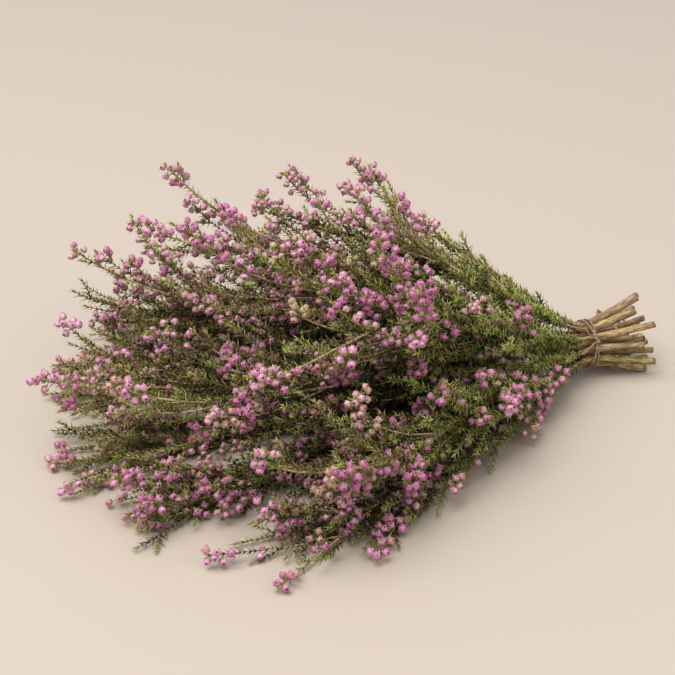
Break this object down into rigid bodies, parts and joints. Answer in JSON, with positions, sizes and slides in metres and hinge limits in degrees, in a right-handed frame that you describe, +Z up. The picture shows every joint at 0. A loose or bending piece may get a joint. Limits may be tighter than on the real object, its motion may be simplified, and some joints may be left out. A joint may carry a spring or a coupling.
{
  "type": "tied bunch of heather stems",
  "caption": "Bunch of cut flowering heather lying on its side: woody stems held by a thin cord, fanning out into needled shoots with small urn-shaped florets.",
  "frame": {"origin": "on the surface that the bunch lies on, under the middle of its bounding box", "axes": "+X toward the cut ends of the stems, with the flowering heads toward -X; +Z up from the surface; -Y is the side seen in the picture"},
  "size_m": [0.3416, 0.2924, 0.1368],
  "materials": {
    "wood": "dull brown bark with olive and ochre patches",
    "cord": "dull natural fibre",
    "twig": "dull reddish-brown young wood",
    "needle": "dull green leaf with a slight sheen",
    "petal": "thin pink petal with a soft waxy sheen",
    "calyx": "dull pale green sepal"
  },
  "bodies": {
    "root": {"heather_stem_1": "wood", "heather_stem_2": "wood", "heather_stem_3": "wood", "heather_stem_4": "wood", "heather_stem_5": "wood", "heather_stem_6": "wood", "heather_stem_7": "wood", "heather_stem_8": "wood", "heather_stem_9": "wood", "heather_stem_10": "wood", "heather_stem_11": "wood", "heather_stem_12": "wood", "heather_stem_13": "wood", "heather_stem_14": "wood", "heather_stem_15": "wood", "heather_stem_16": "wood", "tie": "cord"}
  },
  "joints": []
}
